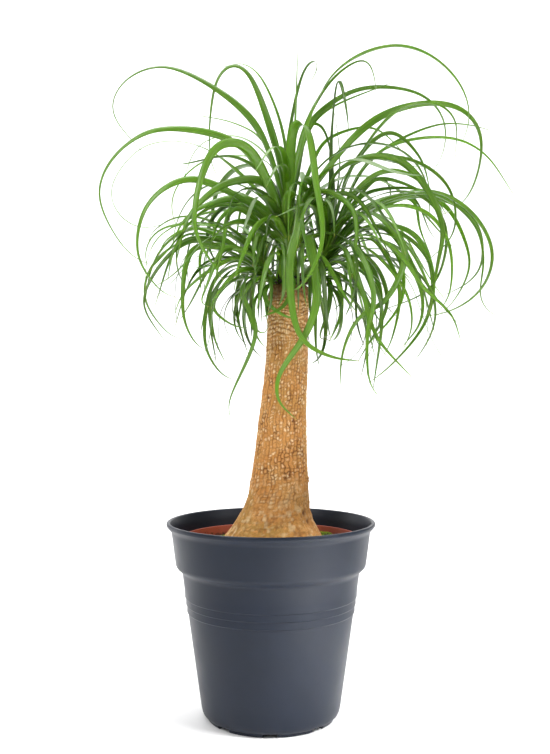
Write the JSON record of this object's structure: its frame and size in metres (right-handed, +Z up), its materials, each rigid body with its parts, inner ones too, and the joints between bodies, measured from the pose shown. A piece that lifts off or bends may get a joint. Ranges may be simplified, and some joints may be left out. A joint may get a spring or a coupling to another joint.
{
  "type": "potted ponytail palm",
  "caption": "Ponytail palm with a swollen corky stem and a crown of long arching strap leaves, standing in a growing pot inside a larger tapered plant pot.",
  "frame": {"origin": "centre of the outer pot's foot, on the surface that it stands on", "axes": "+Z up along the pot's axis, -Y towards the front of the plant, +X to the viewer's right"},
  "size_m": [0.4815, 0.4167, 0.775],
  "materials": {
    "grey_plastic": "satin moulded blue-grey polypropylene",
    "terracotta_plastic": "satin terracotta-coloured polypropylene, dusted with soil",
    "potting_soil": "dry peat potting soil with bark crumbs",
    "moss": "live cushion moss",
    "bark": "ochre corky bark with cracked upright ridges",
    "leaf": "waxy mid-green strap leaves with fine lengthwise veins"
  },
  "bodies": {
    "root": {"outer_pot": "grey_plastic", "inner_pot": "terracotta_plastic", "soil": "potting_soil", "moss_right": "moss", "moss_left": "moss", "trunk": "bark", "leaf_crown": "leaf"}
  },
  "joints": []
}
